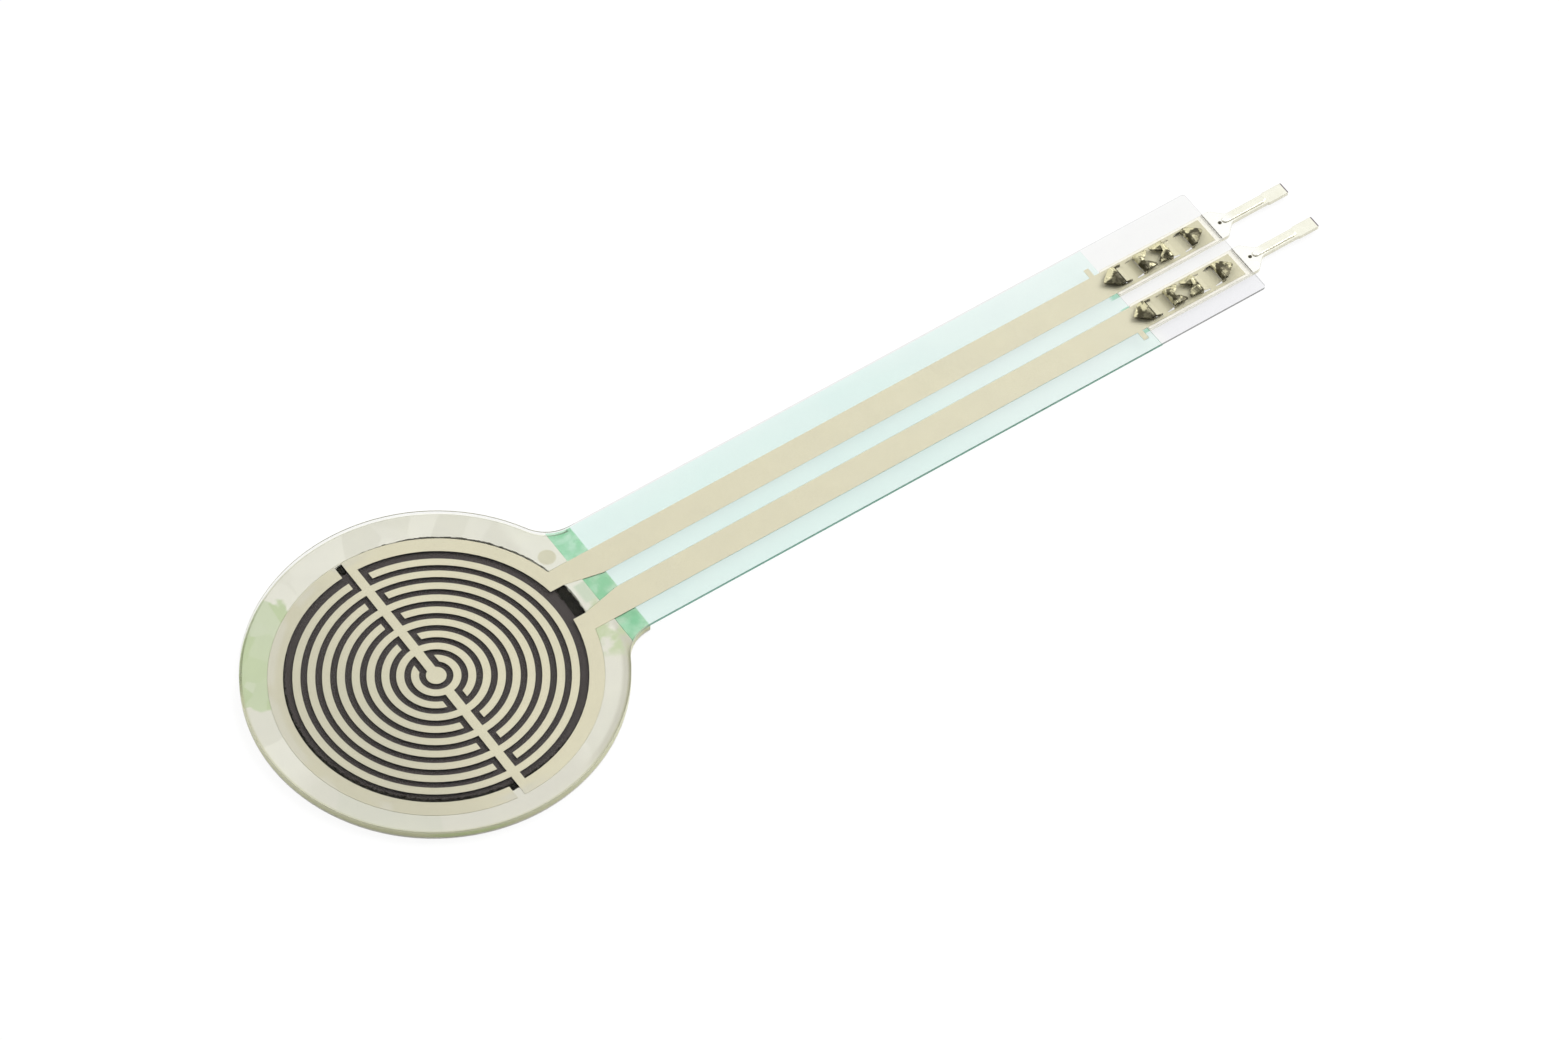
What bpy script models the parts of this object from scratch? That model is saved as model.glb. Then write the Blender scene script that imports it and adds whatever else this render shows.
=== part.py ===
# Force sensing resistor: a round pressure pad on a flat tail with two crimped solder tabs.
# Metres, +Z up. The tail runs along +X. The origin is at the middle of the head, on the
# underside of the release liner.

from math import acos, asin, atan2, ceil, cos, hypot, pi, sin, sqrt

import bmesh
import bpy
from mathutils import Vector

# Layers, bottom to top
LINER_THICKNESS = 0.00006
REAR_ADHESIVE_THICKNESS = 0.00005
SENSING_FILM_THICKNESS = 0.00013
SPACER_THICKNESS = 0.00015
TOP_FILM_THICKNESS = 0.00013
SILVER_THICKNESS = 0.000015
INK_THICKNESS = 0.000015
DIELECTRIC_COVER = 0.000015

# The layers of a laminate touch. This is the parting between two of them.
LAMINATION_GAP = 0.000005
# Sideways room round a print where an adhesive or a coat lies over it
PRINT_CLEARANCE = 0.00002

# Comb of silver rings
CENTRE_DOT_RADIUS = 0.000495
FINGER_WIDTH = 0.000378
FINGER_GAP = 0.000327
FINGER_RINGS = 9
OUTER_GAP = 0.00045
BUS_WIDTH = 0.000744
SPINE_WIDTH = 0.00047
NOTCH_WIDTH = 0.0004
NECK_GAP = 0.00194

# Outline of the head and the tail
HEAD_RIM = 0.0013
TAIL_WIDTH = 0.00694
NECK_FILLET = 0.002
TAIL_LENGTH = 0.04655
TAIL_CORNER = 0.00018
LOWER_LAYERS_PAST_NECK = 0.00008

# Printed leads
LEAD_PITCH = 0.00254
LEAD_WIDTH = 0.00149
LEAD_FLARE_LENGTH = 0.002
PAD_END_MARGIN = 0.00032
STUB_WIDTH = 0.00028
STUB_LENGTH = 0.00055
STUB_SETBACK = 0.0003
DIELECTRIC_UNDER_HEAD = 0.0012

# How far each layer is printed or laid off the middle of the head
COMB_OFFSET = Vector((-0.0001, -0.00024))
LEAD_SIDE_SHIFT = 0.00007
OPENING_OFFSET = Vector((0.00009, -0.00004))
INK_OFFSET = Vector((0.00016, -0.00002))
INK_OVERLAP = 0.00057

# Crimped tabs
TAB_THICKNESS = 0.0002
TAB_WIDTH = 0.00178
TAB_START_CLEARANCE = 0.00006
TAB_PAST_WINDOW = 0.00042
TAB_REACH_PAST_FILM = 0.00044
SHOULDER_LENGTH = 0.0006
SHOULDER_RADIUS = 0.0003
PIN_WIDTH = 0.0006
PIN_LENGTH = 0.00344
PIN_TIP_WIDTH = 0.0007
PIN_TIP_LENGTH = 0.00122
PIN_CORNER = 0.00006
RIB_WIDTH = 0.00036
RIB_HEIGHT = 0.00008
RIB_EDGE = 0.00005
RIB_START = 0.00022
DIMPLE_RADIUS = 0.0001
DIMPLE_DEPTH = 0.00014
DIMPLE_SETBACK = 0.00006

# Teeth of the crimp, cut from two windows in the tab
WINDOW_TO_FILM_END = 0.00136
WINDOW_PITCH = 0.00291
WINDOW_LENGTH = 0.00155
WINDOW_WIDTH = 0.00112
TOOTH_SIDE_CLEARANCE = 0.00003
TOOTH_THICKNESS = 0.00016
TOOTH_ROOT = 0.00012
TOOTH_BEND = 0.00014
TOOTH_CURL = 0.00016
TOOTH_RISE_OVER_FILM = 0.00005
TOOTH_SEAT_CLEARANCE = 0.00001
OUTER_TOOTH_REACH = 0.0007
INNER_TOOTH_REACH = 0.00054
TOOTH_TIP_WIDTH = 0.00012
TOOTH_TIP_THICKNESS = 0.00009
TOOTH_SHOULDER = 0.0001
SWALLOWTAIL_NOTCH = 0.00003
TOOTH_CREASE = 0.00012
SLOT_CLEARANCE = 0.00003
# The film and the pad stand up behind each tooth, where it pierced them.
LIFT_HEIGHT = 0.00009
LIFT_LENGTH = 0.00042
LIFT_TOE = 0.000006
LIFT_STEPS = 4
TEAR_WIDTH = 0.00002
TEAR_LENGTH = 0.00036
TEAR_BITE = 0.000005

# Fineness of the arcs: how far a chord may cut inside its arc
CHORD_ERROR = 0.000004
BEND_STEPS = 5
WELD_DISTANCE = 1e-7
CUT_TOLERANCE = 1e-8

# Heights that follow from the layers
liner_top = LINER_THICKNESS
adhesive_bottom = liner_top + LAMINATION_GAP
adhesive_top = adhesive_bottom + REAR_ADHESIVE_THICKNESS
sensing_bottom = adhesive_top + LAMINATION_GAP
sensing_top = sensing_bottom + SENSING_FILM_THICKNESS
spacer_bottom = sensing_top + LAMINATION_GAP
spacer_top = spacer_bottom + SPACER_THICKNESS
film_bottom = spacer_top + LAMINATION_GAP
film_top = film_bottom + TOP_FILM_THICKNESS
silver_top = film_bottom - LAMINATION_GAP
silver_bottom = silver_top - SILVER_THICKNESS
dielectric_top = film_bottom - LAMINATION_GAP
groove_floor = silver_bottom - LAMINATION_GAP
dielectric_bottom = groove_floor - DIELECTRIC_COVER
ink_bottom = sensing_top + LAMINATION_GAP
ink_top = ink_bottom + INK_THICKNESS
tab_top = silver_bottom - LAMINATION_GAP

# Radii and places that follow from the comb and the tail
ring_pitch = FINGER_WIDTH + FINGER_GAP
first_ring = CENTRE_DOT_RADIUS + FINGER_GAP
bus_inner = first_ring + FINGER_RINGS * ring_pitch - FINGER_GAP + OUTER_GAP
bus_outer = bus_inner + BUS_WIDTH
head_radius = bus_outer + HEAD_RIM
opening_radius = bus_inner
ink_radius = opening_radius + INK_OVERLAP
spine_half = SPINE_WIDTH / 2
finger_end = spine_half + FINGER_GAP
half_tail = TAIL_WIDTH / 2
fillet_y = half_tail + NECK_FILLET
fillet_x = sqrt((head_radius + NECK_FILLET) ** 2 - fillet_y ** 2)
lower_layers_end = fillet_x + LOWER_LAYERS_PAST_NECK
lead_middle = COMB_OFFSET.y + LEAD_SIDE_SHIFT
pad_end = TAIL_LENGTH - PAD_END_MARGIN
outer_window_edge = (WINDOW_PITCH + WINDOW_LENGTH) / 2
inner_window_edge = (WINDOW_PITCH - WINDOW_LENGTH) / 2
crimp_x = TAIL_LENGTH - WINDOW_TO_FILM_END - outer_window_edge
tab_start = crimp_x - outer_window_edge - TAB_PAST_WINDOW
dielectric_start = lower_layers_end - DIELECTRIC_UNDER_HEAD
dielectric_end = tab_start - TAB_START_CLEARANCE
tab_end = TAIL_LENGTH + TAB_REACH_PAST_FILM
pin_start = tab_end + SHOULDER_LENGTH
pin_end = pin_start + PIN_LENGTH
tooth_width = WINDOW_WIDTH - 2 * TOOTH_SIDE_CLEARANCE
slot_half = TOOTH_THICKNESS / 2 + SLOT_CLEARANCE
tab_sides = {"a": 1, "b": -1}


def clear_scene():
    for old in list(bpy.data.objects):
        bpy.data.objects.remove(old, do_unlink=True)


def new_collection(name):
    collection = bpy.data.collections.new(name)
    bpy.context.scene.collection.children.link(collection)
    return collection


def principled(name, colour, roughness, metallic=0.0, alpha=1.0):
    material = bpy.data.materials.new(name)
    material.use_nodes = True
    shader = material.node_tree.nodes["Principled BSDF"]
    shader.inputs["Base Color"].default_value = (*colour, 1.0)
    shader.inputs["Roughness"].default_value = roughness
    shader.inputs["Metallic"].default_value = metallic
    shader.inputs["Alpha"].default_value = alpha
    material.diffuse_color = (*colour, alpha)
    return material


# Outlines are lists of points in the XY plane.

def arc(radius, start, end, centre=(0.0, 0.0)):
    """Points along an arc, both ends included, with chords as fine as CHORD_ERROR asks."""
    step = 2 * acos(1 - min(CHORD_ERROR / radius, 0.5))
    count = max(2, ceil(abs(end - start) / step))
    angles = [start + (end - start) * i / count for i in range(count + 1)]
    return [(centre[0] + radius * cos(a), centre[1] + radius * sin(a)) for a in angles]


def circle(radius, centre=(0.0, 0.0)):
    return arc(radius, 0.0, 2 * pi, centre)[:-1]


def rectangle(x0, x1, y0, y1):
    return [(x0, y0), (x1, y0), (x1, y1), (x0, y1)]


def mirrored_in_y(points):
    return [(x, -y) for x, y in points]


def rounded(points, radii):
    """The polygon with each corner turned into an arc of its own radius; 0 keeps it sharp."""
    result = []
    for i, corner in enumerate(points):
        here = Vector(corner)
        back = Vector(points[i - 1]) - here
        ahead = Vector(points[(i + 1) % len(points)]) - here
        if radii[i] <= 0:
            result.append(corner)
            continue
        half_turn = back.angle(ahead) / 2
        middle = (back.normalized() + ahead.normalized()).normalized()
        centre = here + middle * radii[i] / sin(half_turn)
        first = here + back.normalized() * (middle.dot(back.normalized()) * radii[i] / sin(half_turn))
        last = here + ahead.normalized() * (middle.dot(ahead.normalized()) * radii[i] / sin(half_turn))
        start = atan2(first.y - centre.y, first.x - centre.x)
        end = atan2(last.y - centre.y, last.x - centre.x)
        sweep = (end - start + pi) % (2 * pi) - pi
        result += arc(radii[i], start, start + sweep, centre)
    return result


def neck_edge_from(start_x):
    """The upper edge of the outline from start_x to where the tail runs straight."""
    centre = (fillet_x, fillet_y)
    meet = atan2(fillet_y, fillet_x)
    if start_x < head_radius * cos(meet):
        head = arc(head_radius, acos(start_x / head_radius), meet)[:-1]
        return head + arc(NECK_FILLET, meet - pi, -pi / 2, centre)
    return arc(NECK_FILLET, -acos((start_x - fillet_x) / NECK_FILLET), -pi / 2, centre)


def sensor_outline(end_x, corner=0.0):
    """Head, neck and tail up to a square end at end_x, anticlockwise."""
    meet = atan2(fillet_y, fillet_x)
    fillet = arc(NECK_FILLET, meet - pi, -pi / 2, (fillet_x, fillet_y))
    head = arc(head_radius, meet, 2 * pi - meet)
    end = rounded(rectangle(fillet_x, end_x, -half_tail, half_tail), [0, corner, corner, 0])[1:-1]
    return head[:-1] + mirrored_in_y(fillet) + end + fillet[::-1][:-1]


def finger_ring_right(radius_out, radius_in):
    """Right half of a finger ring: out from the spine, round, and back to the spine."""
    out = arc(radius_out, acos(spine_half / radius_out), -acos(finger_end / radius_out))
    back = arc(radius_in, -acos(finger_end / radius_in), acos(spine_half / radius_in))
    return out + back


def finger_ring_left(radius_out, radius_in):
    return [(-x, y) for x, y in finger_ring_right(radius_out, radius_in)][::-1]


def ring_radii(number):
    """Outer and inner radius of a finger ring, counted from 1 at the centre dot."""
    inner = first_ring + (number - 1) * ring_pitch
    return inner + FINGER_WIDTH, inner


def innermost_ring():
    """A C that is open to the far side: its inner edge runs on past the end of the spine."""
    outer, inner = ring_radii(1)
    right = arc(outer, acos(spine_half / outer), -acos(finger_end / outer))
    inside = arc(inner, -acos(finger_end / inner), pi + acos(finger_end / inner))
    left = [(-x, y) for x, y in right][::-1]
    return right + inside + left


def centre_dot():
    start = acos(spine_half / CENTRE_DOT_RADIUS)
    return arc(CENTRE_DOT_RADIUS, start, -pi - start)


def neck_gap_edge(side):
    """Half of the gap between the two bus arcs, on one side, as if that side were +Y."""
    return side * LEAD_SIDE_SHIFT + NECK_GAP / 2


def lead_outline(side, end_x, room=0.0):
    """A lead and its stub, clockwise, from its outer edge to its inner corner on the bus ring.

    It is drawn about the comb's middle and as if it were on the +Y side. room widens it all
    round, for the bed that it lies in."""
    middle = side * LEAD_SIDE_SHIFT + LEAD_PITCH / 2
    high = middle + LEAD_WIDTH / 2 + room
    low = middle - LEAD_WIDTH / 2 - room
    stub_end = dielectric_end - COMB_OFFSET.x - STUB_SETBACK + room
    stub_start = stub_end - STUB_WIDTH - 2 * room
    neck_edge = neck_gap_edge(side)
    flare_start = sqrt(bus_outer ** 2 - neck_edge ** 2)
    return [
        (stub_start, high),
        (stub_start, high + STUB_LENGTH),
        (stub_end, high + STUB_LENGTH),
        (stub_end, high),
        (end_x + room, high),
        (end_x + room, low),
        (flare_start + LEAD_FLARE_LENGTH, low),
        (flare_start, neck_edge - room),
    ]


def lead_bed_outline(side):
    """The room that a lead takes in the layer under it, from inside the bus ring outwards."""
    lead = lead_outline(side, pad_end - COMB_OFFSET.x, PRINT_CLEARANCE)
    inner = lead[-1]
    outline = [(bus_inner, lead[0][1])] + lead + [(bus_inner, inner[1])]
    return outline if side > 0 else mirrored_in_y(outline)[::-1]


def electrode_outline(side, rings, core):
    """One electrode with its spine on the +Y side, clockwise from the spine's outer end.

    rings are the finger rings that it carries, outermost first, and core ends the spine."""
    lead = lead_outline(side, pad_end - COMB_OFFSET.x)
    bus = arc(bus_outer, pi - acos(spine_half / bus_outer), asin(lead[0][1] / bus_outer))
    inner = arc(bus_inner, asin(neck_gap_edge(side) / bus_inner), acos(spine_half / bus_inner))
    points = bus + lead + inner
    for number in rings:
        points += finger_ring_right(*ring_radii(number))
    points += core
    for number in reversed(rings):
        points += finger_ring_left(*ring_radii(number))
    return points if side > 0 else mirrored_in_y(points)


def electrode_a_outline():
    """The spine ends in the centre dot, and it carries the even rings."""
    rings = [number for number in range(FINGER_RINGS, 0, -1) if number % 2 == 0]
    return electrode_outline(1, rings, centre_dot())


def electrode_b_outline():
    """The spine ends in the innermost ring, and it carries the other odd ones."""
    rings = [number for number in range(FINGER_RINGS, 1, -1) if number % 2 == 1]
    return electrode_outline(-1, rings, innermost_ring())


def support_ring_outline():
    """The far half of the bus ring, between the two notches."""
    edge = spine_half + NOTCH_WIDTH
    outer = arc(bus_outer, pi - acos(edge / bus_outer), pi + acos(edge / bus_outer))
    inner = arc(bus_inner, pi + acos(edge / bus_inner), pi - acos(edge / bus_inner))
    return outer + inner


# Solids

def sheet(name, loops, bottom, top, collection, offset=(0.0, 0.0)):
    """A flat sheet with the first loop as its outline and the others as holes."""
    curve = bpy.data.curves.new(name, "CURVE")
    curve.dimensions = "2D"
    curve.fill_mode = "BOTH"
    curve.extrude = (top - bottom) / 2
    for loop in loops:
        spline = curve.splines.new("POLY")
        spline.points.add(len(loop) - 1)
        for point, (x, y) in zip(spline.points, loop):
            point.co = (x, y, 0.0, 1.0)
        spline.use_cyclic_u = True
    piece = bpy.data.objects.new(name, curve)
    piece.location = (offset[0], offset[1], (top + bottom) / 2)
    collection.objects.link(piece)
    return piece


def as_mesh(piece, collection):
    """The same piece as a mesh object with its caps welded, for Boolean modifiers."""
    bpy.context.view_layer.update()
    graph = bpy.context.evaluated_depsgraph_get()
    mesh = bpy.data.meshes.new_from_object(piece.evaluated_get(graph), depsgraph=graph)
    work = bmesh.new()
    work.from_mesh(mesh)
    bmesh.ops.remove_doubles(work, verts=work.verts, dist=WELD_DISTANCE)
    work.to_mesh(mesh)
    work.free()
    name = piece.name
    matrix = piece.matrix_world.copy()
    bpy.data.objects.remove(piece, do_unlink=True)
    mesh.name = name
    solid = bpy.data.objects.new(name, mesh)
    solid.matrix_world = matrix
    collection.objects.link(solid)
    return solid


def swept(name, sweeps, collection, offset=(0.0, 0.0)):
    """A mesh of one or more prisms, each a flat polygon in space and the shift that sweeps it."""
    work = bmesh.new()
    for polygon, shift in sweeps:
        start = [work.verts.new(corner) for corner in polygon]
        end = [work.verts.new(Vector(corner) + Vector(shift)) for corner in polygon]
        work.faces.new(start)
        work.faces.new(end)
        for i in range(len(start)):
            work.faces.new((start[i - 1], start[i], end[i], end[i - 1]))
    bmesh.ops.recalc_face_normals(work, faces=work.faces)
    mesh = bpy.data.meshes.new(name)
    work.to_mesh(mesh)
    work.free()
    solid = bpy.data.objects.new(name, mesh)
    solid.location = (offset[0], offset[1], 0.0)
    collection.objects.link(solid)
    return solid


def upright(loop, bottom, top):
    """The sweep of an outline from one height to another."""
    return [(x, y, bottom) for x, y in loop], (0.0, 0.0, top - bottom)


def prism(name, loop, bottom, top, collection, offset=(0.0, 0.0)):
    return swept(name, [upright(loop, bottom, top)], collection, offset)


def as_cutter(solid):
    solid.hide_render = True
    solid.display_type = "WIRE"
    return solid


def cutter(name, loop, bottom, top, cutters, offset=(0.0, 0.0)):
    return as_cutter(prism(name, loop, bottom, top, cutters, offset))


def boolean(piece, tool, operation):
    modifier = piece.modifiers.new(tool.name, "BOOLEAN")
    modifier.object = tool
    modifier.operation = operation
    modifier.solver = "EXACT"
    return modifier


# Teeth

def tooth_stretches(reach):
    """Length and bend of each stretch of a tooth's middle line, from inside the tab to its tip.

    The strip leaves the tab's mid-plane, bends up, passes the film and curls back over the tab
    just far enough for its straight run to land on the film."""
    leg_start = TOOTH_BEND - TAB_THICKNESS / 2
    leg = film_top - tab_top + TOOTH_RISE_OVER_FILM - leg_start
    landing = TOOTH_TIP_THICKNESS / 2 + TOOTH_SEAT_CLEARANCE - TOOTH_RISE_OVER_FILM
    curl_angle = atan2(TOOTH_CURL, reach) + acos(landing / hypot(TOOTH_CURL, reach))
    return [
        (TOOTH_ROOT, 0.0),
        (TOOTH_BEND * pi / 2, 1 / TOOTH_BEND),
        (leg, 0.0),
        (TOOTH_CURL * curl_angle, 1 / TOOTH_CURL),
        (reach, 0.0),
    ]


def tooth_path(distance, stretches):
    """Place and heading at a distance along a tooth, with +x towards the window's middle."""
    x = -TOOTH_ROOT
    z = -TAB_THICKNESS / 2
    heading = 0.0
    for length, bend in stretches:
        run = min(distance, length)
        if bend == 0.0:
            x += run * cos(heading)
            z += run * sin(heading)
        else:
            turned = heading + run * bend
            x += (sin(turned) - sin(heading)) / bend
            z -= (cos(turned) - cos(heading)) / bend
            heading = turned
        distance -= run
    return x, z, heading


def pointed_blank(length):
    """Flat pattern of an outer tooth: parallel sides, then a point."""
    half = tooth_width / 2
    shoulder = length - OUTER_TOOTH_REACH + TOOTH_SHOULDER
    tip = TOOTH_TIP_WIDTH / 2
    return [(0, -half), (shoulder, -half), (length, -tip), (length, tip), (shoulder, half), (0, half)]


def swallowtail_blank(length):
    """Flat pattern of an inner tooth: two prongs with a notch between them."""
    half = tooth_width / 2
    notch = (length - INNER_TOOTH_REACH + SWALLOWTAIL_NOTCH, 0)
    inside = half - TOOTH_TIP_WIDTH
    lower = [(0, -half), (length, -half), (length, -inside)]
    return lower + [notch] + mirrored_in_y(lower)[::-1]


def bent_tooth(name, blank_outline, reach, ridge, collection):
    """A flat blank bent along the tooth's path, thinned to its tip and creased at its ridges."""
    stretches = tooth_stretches(reach)
    stops = [sum(length for length, bend in stretches[:i]) for i in range(len(stretches) + 1)]
    length = stops[-1]
    half_thickness = TOOTH_THICKNESS / 2
    strip = prism(name, blank_outline(length), -half_thickness, half_thickness, collection)
    cuts = [stops[1]]
    for start, end in zip(stops[1:], stops[2:]):
        cuts += [start + (end - start) * i / BEND_STEPS for i in range(1, BEND_STEPS + 1)]
    work = bmesh.new()
    work.from_mesh(strip.data)
    planes = [((cut, 0, 0), (1, 0, 0)) for cut in cuts[:-1]]
    planes += [((0, line, 0), (0, 1, 0)) for line in (-ridge, ridge)]
    for place, normal in planes:
        everything = work.verts[:] + work.edges[:] + work.faces[:]
        bmesh.ops.bisect_plane(work, geom=everything, plane_co=place, plane_no=normal, dist=CUT_TOLERANCE)
    for vertex in work.verts:
        distance, across, height = vertex.co
        x, z, heading = tooth_path(distance, stretches)
        curled = min(1.0, max(0.0, (distance - stops[3]) / (stops[4] - stops[3])))
        flattened = min(1.0, max(0.0, (distance - stops[4]) / reach))
        height *= 1 - flattened * (1 - TOOTH_TIP_THICKNESS / TOOTH_THICKNESS)
        slope = TOOTH_CREASE * curled * (1 - flattened) / (tooth_width / 2 - ridge)
        height += slope * abs(abs(across) - ridge)
        vertex.co = (x - height * sin(heading), across, z + height * cos(heading))
    work.to_mesh(strip.data)
    work.free()
    return strip


def tab_outline():
    """Plate, shoulders, pin and its wider tip, centred on the crimp."""
    plate_start = tab_start - crimp_x
    plate_end = tab_end - crimp_x
    shoulder_end = pin_start - crimp_x
    tip_start = pin_end - PIN_TIP_LENGTH - crimp_x
    end = pin_end - crimp_x
    half = TAB_WIDTH / 2
    pin_half = PIN_WIDTH / 2
    tip_half = PIN_TIP_WIDTH / 2
    lower = [
        (plate_start, -half),
        (plate_end, -half),
        (shoulder_end, -pin_half),
        (tip_start, -pin_half),
        (tip_start + (tip_half - pin_half), -tip_half),
        (end, -tip_half),
    ]
    radii = [PIN_CORNER, SHOULDER_RADIUS, SHOULDER_RADIUS, 0, 0, PIN_CORNER]
    upper = mirrored_in_y(lower)[::-1]
    return rounded(lower + upper, radii + radii[::-1])


def stadium(x0, x1, width):
    half = width / 2
    return arc(half, -pi / 2, pi / 2, (x1 - half, 0)) + arc(half, pi / 2, 3 * pi / 2, (x0 + half, 0))


def tab_mesh(collection, cutters):
    """One stamped and crimped tab, with the crimp's middle at its origin and its top at z = 0."""
    windows = []
    for side in (-1, 1):
        middle = side * WINDOW_PITCH / 2
        half = WINDOW_LENGTH / 2
        windows.append(rectangle(middle - half, middle + half, -WINDOW_WIDTH / 2, WINDOW_WIDTH / 2))
    loops = [tab_outline()] + windows
    tab = as_mesh(sheet("tab", loops, -TAB_THICKNESS, 0.0, collection), collection)
    tools = []

    rib_start = tab_end + RIB_START - crimp_x
    rib_end = pin_end - PIN_TIP_LENGTH - crimp_x
    rib_loop = stadium(rib_start, rib_end, RIB_WIDTH)
    rib = prism("rib", rib_loop, -TAB_THICKNESS / 2, RIB_HEIGHT, cutters)
    bevel = rib.modifiers.new("round", "BEVEL")
    bevel.width = RIB_EDGE
    bevel.segments = 2
    tools.append((rib, "UNION"))
    groove_loop = stadium(rib_start + RIB_HEIGHT, rib_end - RIB_HEIGHT, RIB_WIDTH - 2 * RIB_HEIGHT)
    underside = -TAB_THICKNESS
    groove = prism("groove", groove_loop, underside - RIB_HEIGHT, underside + RIB_HEIGHT, cutters)
    tools.append((groove, "DIFFERENCE"))
    dimple_loop = circle(DIMPLE_RADIUS, (tab_end + DIMPLE_SETBACK - crimp_x, 0))
    dimple = prism("dimple", dimple_loop, -DIMPLE_DEPTH, DIMPLE_DEPTH, cutters)
    tools.append((dimple, "DIFFERENCE"))

    for side in (-1, 1):
        point = bent_tooth("point", pointed_blank, OUTER_TOOTH_REACH, 0.0, cutters)
        point.location.x = side * outer_window_edge
        point.rotation_euler.z = pi if side > 0 else 0.0
        tail = bent_tooth("tail", swallowtail_blank, INNER_TOOTH_REACH, tooth_width / 4, cutters)
        tail.location.x = side * inner_window_edge
        tail.rotation_euler.z = 0.0 if side > 0 else pi
        tools += [(point, "UNION"), (tail, "UNION")]

    for tool, operation in tools:
        boolean(tab, tool, operation)
    solid = as_mesh(tab, collection)
    mesh = solid.data
    mesh.transform(solid.matrix_world)
    bpy.data.objects.remove(solid, do_unlink=True)
    for tool, operation in tools:
        bpy.data.objects.remove(tool, do_unlink=True)
    return mesh


def tooth_legs(tab_side):
    """Where one tab's teeth stand in the part, and the way that each one's back faces in X."""
    y = lead_middle + tab_side * LEAD_PITCH / 2
    legs = []
    for side in (-1, 1):
        legs.append((crimp_x + side * (outer_window_edge - TOOTH_BEND), y, -side))
        legs.append((crimp_x + side * (inner_window_edge + TOOTH_BEND), y, side))
    return legs


def slot_sweeps(legs, bottom, top):
    """Holes that the teeth pass through."""
    half_width = tooth_width / 2 + SLOT_CLEARANCE
    sweeps = []
    for x, y, back in legs:
        loop = rectangle(x - slot_half, x + slot_half, y - half_width, y + half_width)
        sweeps.append(upright(loop, bottom, top))
    return sweeps


def lift_sweeps(legs, level, depth, half_width):
    """Curved ramps that rise behind the teeth from a face at level, and reach depth below it."""
    profile = [(0.0, -depth), (slot_half + LIFT_LENGTH, -depth)]
    for step in range(LIFT_STEPS + 1):
        share = step / LIFT_STEPS
        rise = (LIFT_HEIGHT + LIFT_TOE) * share ** 2 - LIFT_TOE
        profile.append((slot_half + LIFT_LENGTH * (1 - share), rise))
    profile.append((0.0, LIFT_HEIGHT))
    sweeps = []
    for x, y, back in legs:
        ramp = [(x + back * run, y - half_width, level + rise) for run, rise in profile]
        sweeps.append((ramp, (0.0, 2 * half_width, 0.0)))
    return sweeps


def tear_sweeps(legs, flap, bottom, top):
    """Narrow cuts along both sides of the flaps, from the teeth backwards."""
    near = flap - TEAR_BITE
    far = tooth_width / 2 + 2 * TEAR_WIDTH
    sweeps = []
    for x, y, back in legs:
        end = x + back * (slot_half + TEAR_LENGTH)
        for low, high in ((y - far, y - near), (y + near, y + far)):
            sweeps.append(upright(rectangle(min(x, end), max(x, end), low, high), bottom, top))
    return sweeps


def pierce(layer, sides, bottom, top, flap_clearance, cutters):
    """Lifts a layer behind the teeth, tears its flaps free and cuts the slots for the legs."""
    legs = [leg for side in sides for leg in tooth_legs(side)]
    depth = (top - bottom) / 2
    flap = tooth_width / 2 - flap_clearance
    reach = LIFT_HEIGHT + SLOT_CLEARANCE
    tools = [
        ("lift", lift_sweeps(legs, top, depth, flap), "UNION"),
        ("hollow", lift_sweeps(legs, bottom, depth, tooth_width / 2 + TEAR_WIDTH), "DIFFERENCE"),
        ("tears", tear_sweeps(legs, flap, bottom - reach, top + reach), "DIFFERENCE"),
        ("slots", slot_sweeps(legs, bottom - reach, top + reach), "DIFFERENCE"),
    ]
    for name, sweeps, operation in tools:
        boolean(layer, as_cutter(swept(name, sweeps, cutters)), operation)


# Sub-parts

def make_release_liner(parts):
    liner = sheet("release_liner", [sensor_outline(lower_layers_end)], 0.0, liner_top, parts)
    liner.data.materials.append(principled("liner_film", (0.86, 0.85, 0.80), 0.45))


def make_rear_adhesive(parts):
    outline = sensor_outline(lower_layers_end)
    adhesive = sheet("rear_adhesive", [outline], adhesive_bottom, adhesive_top, parts)
    adhesive.data.materials.append(principled("rear_acrylic", (0.87, 0.86, 0.78), 0.35))


def make_sensing_film(parts):
    film = sheet("sensing_film", [sensor_outline(lower_layers_end)], sensing_bottom, sensing_top, parts)
    film.data.materials.append(principled("lower_film", (0.88, 0.88, 0.84), 0.2))


def make_sensing_ink(parts):
    ink = sheet("sensing_ink", [circle(ink_radius)], ink_bottom, ink_top, parts, INK_OFFSET)
    ink.data.materials.append(principled("carbon_ink", (0.03, 0.028, 0.026), 0.6))


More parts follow.
